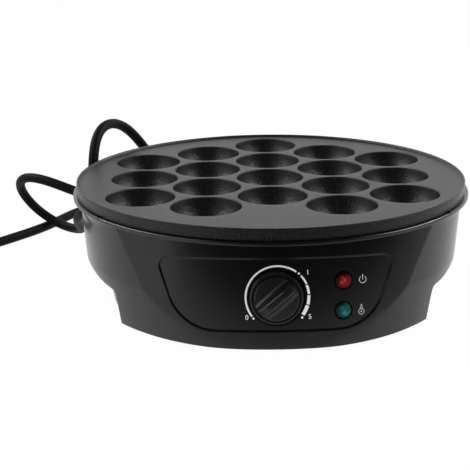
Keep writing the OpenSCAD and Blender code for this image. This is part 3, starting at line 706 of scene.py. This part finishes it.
class COOKER_OT_casing(bpy.types.Operator):
    """Make the moulded casing: drum, waist, flange, front apron and panel recess"""

    bl_idname = "cooker.casing"
    bl_label = "Casing"

    foot_edge = 1.1
    low_z, high_z = BASE_Z + foot_edge, 73.9
    front_columns, rows = 52, 64
    beside_edge = (0.0, 0.15, 0.3, 0.5, 0.8, 1.2, 1.8, 2.7, 4.0)

    def execute(self, context):
        skin = Surface()
        heights = np.linspace(self.low_z, self.high_z, self.rows + 1)
        edge = apron_edge(heights)
        self.collar(skin, self.columns(edge[-1]))
        self.foot_and_inside(skin, edge)
        beside = np.stack([self.columns(e)[self.front_columns:-self.front_columns + 1]
                           for e in edge])
        up = heights[:, None]
        skin.grid(around(casing_r(signed(beside), up), beside, up))
        rim = self.front(skin, edge, heights)
        self.panel(skin, rim)
        skin.piece("casing", "black_plastic", slot="black_plastic", replaces=("housing",),
                   angle=70)
        return {"FINISHED"}

    def columns(self, edge):
        """Angles round the casing from the front: even up to the apron's edge, close beside it,
        close again at the upright edge of the cut-in, and even to the back."""
        front = np.linspace(0, edge, self.front_columns + 1)[:-1]
        beside = edge + np.array(self.beside_edge)
        back = np.concatenate([np.linspace(beside[-1], 55.6, 12)[1:], np.linspace(55.8, 59.0, 16),
                               np.linspace(59.0, 180, 116)[1:]])
        half = np.concatenate([front, beside, back])
        return np.concatenate([half, 360 - half[-2:0:-1]])

    def collar(self, skin, angles):
        """Flange: seat under the plate, rounded lip, and the ledge back to the wall."""
        inner = np.minimum(SEAT_R, apron_r(signed(angles), FLANGE_Z, RECESS + WALL))
        path = rounded((134.0, FLANGE_Z), (FLANGE_R, FLANGE_Z, 0.8),
                       (FLANGE_R, FLANGE_Z - 2.4, 0.7), (134.2, FLANGE_Z - 2.6), steps=6)
        rows = around(path[:, :1], angles[None], path[:, 1:])
        seat = around(inner[None], angles[None], FLANGE_Z)
        wall = around(casing_r(signed(angles), self.high_z)[None], angles[None], self.high_z)
        skin.tube(np.concatenate([seat, rows, wall]))

    def foot_and_inside(self, skin, edge):
        """Rounded foot edge, then the inner wall back up to the seat."""
        low, high = self.columns(edge[0]), self.columns(edge[-1])
        foot = casing_r(signed(low), self.low_z)
        t = np.radians(np.linspace(0, 90, 5))[:, None]
        rim = around(foot[None] - self.foot_edge * (1 - np.cos(t)), low[None],
                     self.low_z - self.foot_edge * np.sin(t))
        heights = np.array([BASE_Z, 6, 12, 20, 30, 40, 50, 60, 68, 73.5, 74.4, FLANGE_Z])[:, None]
        share = (heights - BASE_Z) / (FLANGE_Z - BASE_Z)
        angles = low[None] + (high - low)[None] * share
        turned = signed(angles)
        inner = np.minimum(np.minimum(body_r(turned, heights), INNER_R) - WALL,
                           apron_r(turned, heights, RECESS + WALL))
        inner[-2:] = np.minimum(SEAT_R, apron_r(turned[-2:], FLANGE_Z, RECESS + WALL))
        skin.tube(np.concatenate([rim, around(inner, angles, heights)]))

    def front(self, skin, edge, heights):
        """Front of the casing as rings from the recess's outline out to the apron's edge: each ring
        mixes the two outlines, so its lines follow both."""
        low = np.linspace(-1, 1, 2 * self.front_columns + 1)
        bottom = np.stack([low * edge[0], np.full_like(low, heights[0])], -1)
        top = np.stack([-low * edge[-1], np.full_like(low, heights[-1])], -1)
        side = np.stack([edge, heights], -1)
        border = np.concatenate([bottom[:-1], side[:-1], top[:-1], (side * (-1, 1))[::-1][:-1]])
        ring, normal = self.facing(
            casing_r(border[:, 0], border[:, 1]) * np.sin(np.radians(border[:, 0])),
            (border[:, 1] - PANEL_Z) / math.cos(APRON_TILT))
        # The recess's edge: how far across the outline each ring lies, and how deep it is sunk
        offset = np.array([-1.5, -1.2, -1.0, -0.8, -0.62, -0.46, -0.32, -0.18, -0.04, 0.1, 0.26,
                           0.45, 0.8, 1.5, 2.4])
        sink = RECESS * eased((0.28 - offset) / 1.25)
        rings = ring[None] + offset[:, None, None] * normal[None]
        points = on_apron(rings[..., 0], rings[..., 1], -sink[:, None])
        # Beyond it: rings that close up towards the apron's edge
        a = np.degrees(np.arctan2(points[-1, :, 0], -points[-1, :, 1]))
        start = np.stack([a, points[-1, :, 2]], -1)
        share = 1 - np.linspace(1, 0, 34)[1:] ** 1.9
        mixed = start[None] + share[:, None, None] * (border - start)[None]
        blend = casing_r(mixed[..., 0], mixed[..., 1])
        points[-1] = around(casing_r(start[:, 0], start[:, 1]), start[:, 0], start[:, 1])
        points[-2] = 0.5 * (points[-2] + self.snapped(points[-2]))
        skin.tube(np.concatenate([points, around(blend, mixed[..., 0], mixed[..., 1])]))
        return rings[0]

    def facing(self, x, up):
        """For each place on the panel, the recess outline's point in the same direction from the
        panel's middle, and the outline's outward normal there."""
        outline = recess_outline()
        closed = np.concatenate([outline, outline[:1]])
        along = np.r_[0, np.cumsum(np.linalg.norm(np.diff(closed, axis=0), axis=1))]
        fine = np.linspace(0, along[-1], 6000, endpoint=False)
        fine = np.stack([np.interp(fine, along, closed[:, k]) for k in range(2)], -1)
        turn = np.arctan2(*fine.T[::-1])
        order = np.argsort(turn)
        ring = np.stack([np.interp(np.arctan2(up, x), turn[order], fine[order, k],
                                   period=2 * np.pi) for k in range(2)], -1)
        tangent = np.roll(ring, -1, 0) - np.roll(ring, 1, 0)
        normal = np.stack([tangent[:, 1], -tangent[:, 0]], -1)
        normal /= np.linalg.norm(normal, axis=1)[:, None]
        return ring, normal * np.sign((ring * normal).sum(1))[:, None]

    def snapped(self, points):
        """The same angles and heights on the casing's own surface."""
        a = np.degrees(np.arctan2(points[..., 0], -points[..., 1]))
        return around(casing_r(a, points[..., 2]), a, points[..., 2])

    def panel(self, skin, rim):
        """Recess floor with a shallow sloping well round the knob and a seat for each lens."""
        t = whole_turn(144)
        well = circle(WELL_R, len(t)) + (WELL_X, WELL_UP)
        holes = [lens_ring(up) for up in LENS_UPS]
        arc_x = FLOOR_R * math.asin(LENS_X / APRON_R)
        closed = np.concatenate([rim, rim[:1]])

        def inside(points, margin):
            x, y = points.T
            (x1, y1), (x2, y2) = closed[:-1].T[..., None], closed[1:].T[..., None]
            crosses = ((y1 > y) != (y2 > y)) & (x < (x2 - x1) * (y - y1) / (y2 - y1 + 1e-12) + x1)
            keep = crosses.sum(0) % 2 == 1
            if margin:
                keep &= (np.hypot(x - x1, y - y1).min(0) > margin)
            for up in LENS_UPS:
                keep &= np.hypot(FLOOR_R * np.arcsin(x / FLOOR_R) - arc_x,
                                 y - up) > LENS_SEAT_R + margin
            return keep & (np.hypot(x - WELL_X, y - WELL_UP) > WELL_R + margin)

        flat, faces = flat_fill(rim, holes + [well], inside, 2.6)
        skin.fill(on_apron(flat[:, 0], flat[:, 1], -RECESS), faces)
        share = np.array([1, 0.9995, 0.99, 0.885, 0.875, 0.86, 0.7, 0.5, 0.3, 0.1, 0.0001])
        down = -RECESS - np.array([0, 0.15, 0.24, 1.24] + [WELL_DEPTH] * 7)
        skin.tube(on_apron(WELL_X + share[:, None] * WELL_R * np.cos(t),
                           WELL_UP + share[:, None] * WELL_R * np.sin(t), down[:, None]))
        for up, hole in zip(LENS_UPS, holes):
            top = on_apron(hole[:, 0], hole[:, 1], -RECESS)
            path = rounded((LENS_SEAT_R - 0.02, -1.9), (LENS_SEAT_R - 0.05, -3.4, 0.4), (0, -3.4),
                           steps=4)
            dish = onto(revolve(path, len(hole)), *lens_frame(up))
            skin.tube(np.concatenate([top[None], dish]))


PLATE_R, DECK_R, RIM_UP, THICK = 133.0, 129.6, 1.5, 3.0
CUP_PITCH, CUP_R, CUP_DEPTH, CUP_WALL = 50.0, 23.0, 20.0, 1.6
# A cup is part of a sphere whose centre lies a little above the deck
BOWL_R = (CUP_R ** 2 + CUP_DEPTH ** 2) / (2 * CUP_DEPTH)
BOWL_UP = BOWL_R - CUP_DEPTH


def cup_places():
    """Five staggered columns of cups; the front middle place is left empty."""
    c, k = np.meshgrid(np.arange(-2, 3), np.arange(-2, 3), indexing="ij")
    row = k + 0.5 * (np.abs(c) == 1)
    keep = (np.abs(row) <= 2) & ~((np.abs(c) == 2) & (np.abs(row) > 1)) & ~((c == 0) & (row == -2))
    return np.stack([c[keep] * CUP_PITCH * math.sqrt(3) / 2, row[keep] * CUP_PITCH], -1)


class COOKER_OT_plate(bpy.types.Operator):
    """Make the baking plate with its rounded cups and raised edge"""

    bl_idname = "cooker.plate"
    bl_label = "Baking plate"

    turns = 96

    def execute(self, context):
        cups = cup_places()
        plate = Surface()
        edge = sizes().cup_edge / MM
        mouth = math.sqrt((BOWL_R + edge) ** 2 - (BOWL_UP + edge) ** 2)
        self.deck(plate, cups, mouth, SURFACE_Z)
        under = SURFACE_Z - THICK
        under_r = math.sqrt((BOWL_R + CUP_WALL) ** 2 - (BOWL_UP + THICK) ** 2)
        self.deck(plate, cups, under_r, under)
        rim = rounded((DECK_R, SURFACE_Z), (131.1, SURFACE_Z, 1.2),
                      (132.0, SURFACE_Z + RIM_UP, 0.45), (PLATE_R, SURFACE_Z + RIM_UP, 0.6),
                      (PLATE_R, FLANGE_Z + 0.1, 0.5), (130.0, FLANGE_Z + 0.1, 0.3),
                      (DECK_R, under), steps=6)
        plate.tube(revolve(rim, 240))
        # Cup: quarter round at the mouth, then the bowl's sphere
        lean = math.atan2(BOWL_UP + edge, mouth)
        t = np.linspace(math.pi / 2, math.pi - lean, 7)
        lip = np.stack([mouth + edge * np.cos(t), -edge + edge * np.sin(t)], -1)
        t = np.linspace(-lean, -math.pi / 2, 30)[1:]
        bowl = np.stack([BOWL_R * np.cos(t), BOWL_UP + BOWL_R * np.sin(t)], -1)
        inner = revolve(np.concatenate([lip, bowl]), self.turns)
        lean = math.asin((BOWL_UP + THICK) / (BOWL_R + CUP_WALL))
        t = np.linspace(-lean, -math.pi / 2, 16)
        outer = revolve(np.stack([(BOWL_R + CUP_WALL) * np.cos(t),
                                  BOWL_UP + (BOWL_R + CUP_WALL) * np.sin(t)], -1), self.turns)
        for x, y in cups:
            plate.tube(inner + (x, y, SURFACE_Z))
            plate.tube(outer + (x, y, SURFACE_Z))
        plate.piece("nonstick_plate", "nonstick", slot="nonstick", replaces=("baking_plate",),
                    angle=40)
        return {"FINISHED"}

    def deck(self, plate, cups, hole_r, z):
        """Flat deck at height z between the cups' mouths and the rim."""
        holes = [c + circle(hole_r, self.turns) for c in cups]

        def inside(points, margin):
            gaps = np.linalg.norm(points[:, None] - cups[None], axis=2).min(1)
            slack = 0.02 if margin == 0 else 0
            return (gaps > hole_r + margin - slack) & \
                (np.linalg.norm(points, axis=1) < DECK_R - margin + slack)

        flat, faces = flat_fill(circle(DECK_R, 240), holes, inside, 6.0)
        plate.fill(np.c_[flat, np.full(len(flat), z)], faces)


# The way the grip's pointer end shows, from the panel's x axis, and the knob's own centre
POINTER = math.radians(220)
KNOB_O = PANEL_O - 0.3 * PANEL_X + 0.6 * PANEL_UP


class COOKER_OT_knob(bpy.types.Operator):
    """Make the knob: a collar, a raised disc and a grip bar with hollow flanks"""

    bl_idname = "cooker.knob"
    bl_label = "Knob"

    def execute(self, context):
        face_r, face_h, top = 13.9, 6.4, 15.0
        profile = rounded((0, -0.4), (16.5, -0.4, 0.3), (16.5, 4.2, 0.9), (14.9, 4.2, 0.35),
                          (14.7, 3.3, 0.2), (face_r, 3.3, 0.2), (face_r, face_h, 0.9),
                          (0, face_h), steps=6)
        base = Surface().tube(self.seated(revolve(profile, 144)))
        base.piece("knob_base", "knob_plastic", KNOB_BODY, "knob_plastic", ("knob",), angle=40)

        # Grip: its flanks sweep in from a wide foot, and its top falls away towards both ends
        side = rounded((9.2, face_h - 1.2), (9.0, face_h - 0.1), (4.6, face_h + 0.25, 4.5),
                       (2.6, top, 2.0), (0, top + 0.15), steps=14)
        half, height = side[:, 0], side[:, 1]
        across = np.concatenate([half, -half[::-1][1:]])
        tall = np.concatenate([height, height[::-1][1:]])
        along = np.linspace(-1, 1, 61)[:, None]
        fall = 1.6 * eased((np.abs(along) - 0.45) / 0.55)
        lift = face_h - 1.2 + (tall - face_h + 1.2)[None] * (1 - fall / (top - face_h + 1.2))
        end = np.sqrt((face_r - 0.25 - 0.1 * (tall - face_h)) ** 2 - across ** 2)[None]
        roof = np.stack([along * end, np.broadcast_to(across, lift.shape), lift], -1)
        share = np.linspace(-1, 1, 25)[:, None]
        grip = Surface().grid(self.pointed(roof))
        reach = face_r - 0.25 - 0.1 * (height - face_h)
        for way in (-1, 1):
            y = share * half[None]
            x = way * np.sqrt(reach[None] ** 2 - y ** 2)
            grip.grid(self.pointed(np.stack([x, y, np.broadcast_to(lift[0, :len(half)],
                                                                   y.shape)], -1)))
        y = share * half[None, :1]
        floor = np.stack([along.T * np.sqrt(reach[0] ** 2 - y ** 2), np.broadcast_to(y, (25, 61)),
                          np.full((25, 61), height[0])], -1)
        grip.grid(self.pointed(floor))
        grip.piece("knob_grip", "knob_plastic", KNOB_BODY, "knob_plastic", bevel=0.8, angle=48,
                   merge=2e-5)
        return {"FINISHED"}

    def seated(self, points):
        return onto(points, KNOB_O, PANEL_X, PANEL_UP, PANEL_OUT)

    def pointed(self, points):
        """Points whose x runs along the pointer, in the panel's frame."""
        c, s = math.cos(POINTER), math.sin(POINTER)
        turned = np.stack([points[..., 0] * c - points[..., 1] * s,
                           points[..., 0] * s + points[..., 1] * c, points[..., 2]], -1)
        return self.seated(turned)


class COOKER_OT_lenses(bpy.types.Operator):
    """Make the two domed lamp lenses"""

    bl_idname = "cooker.lenses"
    bl_label = "Lamp lenses"

    def execute(self, context):
        for name, up in zip(("red", "green"), LENS_UPS):
            t = np.linspace(0, math.pi / 2, 14)
            dome = np.stack([LENS_R * np.cos(t), -RECESS - 0.4 + 3.0 * np.sin(t)], -1)
            profile = np.concatenate([[(0, -13), (4.8, -13), (4.8, -3.0), (LENS_R, -3.0)], dome])
            points = onto(revolve(profile, 72), *lens_frame(up))
            Surface().tube(points).piece(
                f"{name}_lamp_lens", f"{name}_lens", slot=f"{name}_lens",
                replaces=(f"lens_{name}",), angle=50)
        return {"FINISHED"}


DIAL_X, DIAL_UP, DIAL_R, DOT_RING_R = 0.5, 0.2, 20.35, 19.95
FONT_SIZE_TO_DIGIT, DIGIT_THICK = 1.42, 0.06


class COOKER_OT_marks(bpy.types.Operator):
    """Print the dial's arcs, dots and numbers and the two lamps' signs"""

    bl_idname = "cooker.marks"
    bl_label = "Printed marks"

    def execute(self, context):
        marks = Surface()
        self.band(marks, 216.5, 54, 1.15)
        for first, last, wide in ((42.8, 24.2, 1.1), (22.2, 5.2, 1.5), (3.2, -14.2, 1.85),
                                  (-16.2, -35.3, 2.2)):
            self.band(marks, first, last, wide)
        for angle in (221, 48.3, -40.3):
            self.dot(marks, DIAL_X + DOT_RING_R * math.cos(math.radians(angle)),
                     DIAL_UP + DOT_RING_R * math.sin(math.radians(angle)), 0.7)
        self.power_sign(marks, 54.0, 10.0)
        self.heat_sign(marks, 53.2, -9.3)
        marks.piece("panel_print", "ink", angle=30)
        for text, x, up in (("0", -18.6, -12.4), ("1", 19.3, 15.6), ("5", 20.6, -12.4)):
            self.digit(context, text, x, up)
        return {"FINISHED"}

    def slab(self, marks, x, up, round_rows=False):
        """A thin closed slab over a grid of (x, up) places."""
        low, high = -RECESS - 0.1, -RECESS + sizes().print_height / MM
        top, bottom = on_apron(x, up, high), on_apron(x, up, low)
        shell = np.concatenate([bottom[:, :1], top, bottom[:, ::-1]], axis=1)
        marks.grid(shell, round_rows=round_rows)
        if not round_rows:
            for k in (0, -1):
                marks.grid(np.stack([bottom[k], top[k]]))

    def band(self, marks, first, last, wide):
        """Arc of the dial from one angle to another, in degrees, drawn inwards from its edge."""
        t = np.radians(np.linspace(first, last, max(8, int(abs(first - last) / 2))))[:, None]
        r = DIAL_R - wide * np.array([[1, 0.5, 0]])
        self.slab(marks, DIAL_X + r * np.cos(t), DIAL_UP + r * np.sin(t))

    def dot(self, marks, x, up, radius):
        t = whole_turn(20)[:, None]
        r = radius * np.array([[0.0001, 0.5, 1.0]])
        self.slab(marks, x + r * np.cos(t), up + r * np.sin(t), round_rows=True)

    def loop(self, marks, x, up, radius, wide, first=0, last=360):
        t = np.radians(np.linspace(first, last, 37))[:, None]
        r = radius + wide * np.array([[-0.5, 0.5]])
        if last - first == 360:
            t = t[:-1]
        self.slab(marks, x + r * np.cos(t), up + r * np.sin(t), round_rows=last - first == 360)

    def bar(self, marks, x, low, high, wide):
        self.slab(marks, x + wide * np.array([[-0.5, 0.5]]), np.linspace(low, high, 5)[:, None])

    def power_sign(self, marks, x, up):
        """Broken circle with an upright stroke."""
        self.loop(marks, x, up - 0.5, 2.2, 0.24, 125, 415)
        self.bar(marks, x, up - 0.6, up + 2.8, 0.26)

    def heat_sign(self, marks, x, up):
        """Thermometer: a ring with a dot in it, under a small ring and a dot."""
        self.loop(marks, x, up - 1.6, 1.75, 0.2)
        self.dot(marks, x, up - 1.6, 0.4)
        self.loop(marks, x, up + 1.05, 0.75, 0.16)
        self.dot(marks, x, up + 2.6, 0.35)

    def digit(self, context, text, x, up):
        """A plain number laid on the curved panel."""
        data = bpy.data.curves.new("digit", "FONT")
        data.body, data.extrude = text, DIGIT_THICK
        data.size = sizes().digit_height / MM * FONT_SIZE_TO_DIGIT
        data.align_x, data.align_y = "CENTER", "CENTER"
        source = link("digit", data)
        mesh = bpy.data.meshes.new_from_object(
            source.evaluated_get(context.evaluated_depsgraph_get()))
        bpy.data.objects.remove(source)
        flat = np.zeros(len(mesh.vertices) * 3)
        mesh.vertices.foreach_get("co", flat)
        flat = flat.reshape(-1, 3)
        placed = on_apron(x + flat[:, 0], up + flat[:, 1],
                          -RECESS - 0.01 + flat[:, 2]) * MM
        mesh.vertices.foreach_set("co", placed.ravel())
        mesh.update()
        mesh.materials.clear()
        mesh.materials.append(finish("ink"))
        number = link(f"dial_number_{text}", mesh)
        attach(number, BODY)


class COOKER_OT_carried(bpy.types.Operator):
    """Give each carried-over part its finish"""

    bl_idname = "cooker.carried"
    bl_label = "Carried-over parts"

    def execute(self, context):
        slots = {row["node"]: row["material_slot"] for row in frame["record"]["subparts"]}
        for name, node in frame["nodes"].items():
            for place in node.material_slots:
                place.material = finish(slots[name])
        return {"FINISHED"}


# ---------------------------------------------------------------- studio

class COOKER_OT_studio(bpy.types.Operator):
    """Set the pale floor, the background and the soft lights"""

    bl_idname = "cooker.studio"
    bl_label = "Studio"

    def execute(self, context):
        context.scene.view_settings.view_transform = "Standard"
        self.floor(context.scene.cooker_colours.floor)
        self.card()
        self.world(context.scene)
        self.softbox("left_strip", -0.95, 10)
        self.softbox("right_strip", 0.95, 11)
        return {"FINISHED"}

    def sheet(self, name, points, faces, material):
        mesh = bpy.data.meshes.new(name)
        mesh.from_pydata(points, [], faces)
        mesh.materials.append(material)
        return link(name, mesh)

    def floor(self, colour):
        """Pale floor that the camera sees white and mirrors see as light behind and at the left,
        falling off to dark in front."""
        pale = Finish("floor", Roughness=0.9, Specular_IOR_Level=0.2, Base_Color=colour)
        spot = pale.add("ShaderNodeTexCoord", output="Object")
        across = pale.split(spot, "X")
        aside = across.maths("MAXIMUM", across * -0.95, across * 0.3)
        painted_shade = pale.spread(pale.split(spot, "Y") + aside, 0, 1, -0.5, -0.02) ** 1.35 * 0.95
        camera = pale.add("ShaderNodeLightPath", output="Is Camera Ray")
        mirrored = pale.seen() - camera
        share = camera.maths("MAXIMUM", camera * 0.975, mirrored)
        glow = pale.add("ShaderNodeEmission", {"Color": (1, 1, 1),
                                               "Strength": camera + mirrored * painted_shade})
        mixed = pale.add("ShaderNodeMixShader", {0: share, 1: Value(pale, pale.shader.outputs[0]),
                                                2: glow})
        pale.feed(pale.nodes["Material Output"].inputs["Surface"], mixed)
        floor = self.sheet("floor", [(-4, -4, 0), (4, -4, 0), (4, 4, 0), (-4, 4, 0)],
                           [(0, 1, 2, 3)], pale.material)

    def card(self):
        """Black card behind the camera and over the cooker, which only mirrored light meets: an
        upright arc in front that bends over into a roof. Each row is a radius, a height and how
        far back its centre lies."""
        columns = 33
        t = np.radians(np.linspace(-40, 62, columns))
        rows = [(1.5, 0.0, 0.0), (1.5, 1.4, 0.0), (1.2, 1.75, 0.2), (1.0, 1.8, 0.9),
                (1.0, 1.8, 1.9), (1.0, 1.5, 2.6)]
        points = np.concatenate([np.c_[r * np.sin(t), y - r * np.cos(t), np.full(columns, z)]
                                 for r, z, y in rows])
        starts = [columns * j + k for j in range(len(rows) - 1) for k in range(columns - 1)]
        black = Finish("dark_card", Roughness=1.0, Specular_IOR_Level=0.0,
                       Base_Color=(0.02, 0.02, 0.02))
        black.set("Alpha", black.add("ShaderNodeLightPath", output="Is Glossy Ray"))
        card = self.sheet("dark_card", points.tolist(),
                          [(k, k + 1, k + columns + 1, k + columns) for k in starts],
                          black.material)

    def world(self, scene):
        """White where it is seen; as light it is stronger from the front than from behind."""
        scene.world = bpy.data.worlds.new("studio")
        scene.world.use_nodes = True
        sky = Tree(scene.world.node_tree)
        forward = sky.split(sky.add("ShaderNodeTexCoord", output="Generated"), "Y")
        dim = sky.add("ShaderNodeBackground", {"Color": (1, 1, 1),
                                               "Strength": sky.spread(forward, 1.1, 0.2, -1)})
        white = sky.add("ShaderNodeBackground", {"Color": (1, 1, 1)})
        both = sky.add("ShaderNodeMixShader", {0: sky.seen(), 1: dim, 2: white})
        sky.feed(sky.nodes["World Output"].inputs["Surface"], both)

    def softbox(self, name, x, power):
        """Strip light over one side, whose long side runs from front to back."""
        place, target = Vector((x, 0.3, 0.9)), Vector((0, 0.25, 0.06))
        data = bpy.data.lights.new(name, "AREA")
        data.shape, data.size, data.size_y, data.energy = "RECTANGLE", 0.14, 1.2, power
        light = link(name, data)
        light.location = place
        light.rotation_euler = (target - place).to_track_quat("-Z", "X").to_euler()


# ---------------------------------------------------------------- panel and run

STEPS = (COOKER_OT_camera, COOKER_OT_lead, COOKER_OT_casing, COOKER_OT_plate, COOKER_OT_knob,
         COOKER_OT_lenses, COOKER_OT_marks, COOKER_OT_carried, COOKER_OT_studio)


class COOKER_PT_pieces(bpy.types.Panel):
    """Lists the steps and the values they use"""

    bl_idname = "COOKER_PT_pieces"
    bl_label = "Cooker"
    bl_space_type = "VIEW_3D"
    bl_region_type = "UI"
    bl_category = "Cooker"

    def draw(self, context):
        for step in STEPS:
            self.layout.operator(step.bl_idname)
        for group in (context.scene.cooker_sizes, context.scene.cooker_colours):
            for key in group.bl_rna.properties.keys():
                if key not in {"rna_type", "name"}:
                    self.layout.prop(group, key)


CLASSES = (CookerSizes, CookerColours, *STEPS, COOKER_PT_pieces)


def register():
    for item in CLASSES:
        bpy.utils.register_class(item)
    bpy.types.Scene.cooker_sizes = bpy.props.PointerProperty(type=CookerSizes)
    bpy.types.Scene.cooker_colours = bpy.props.PointerProperty(type=CookerColours)


def unregister():
    del bpy.types.Scene.cooker_sizes, bpy.types.Scene.cooker_colours
    for item in reversed(CLASSES):
        bpy.utils.unregister_class(item)


def main():
    register()
    for step in STEPS:
        getattr(bpy.ops.cooker, step.bl_idname.split(".")[1])()


if __name__ == "__main__":
    main()
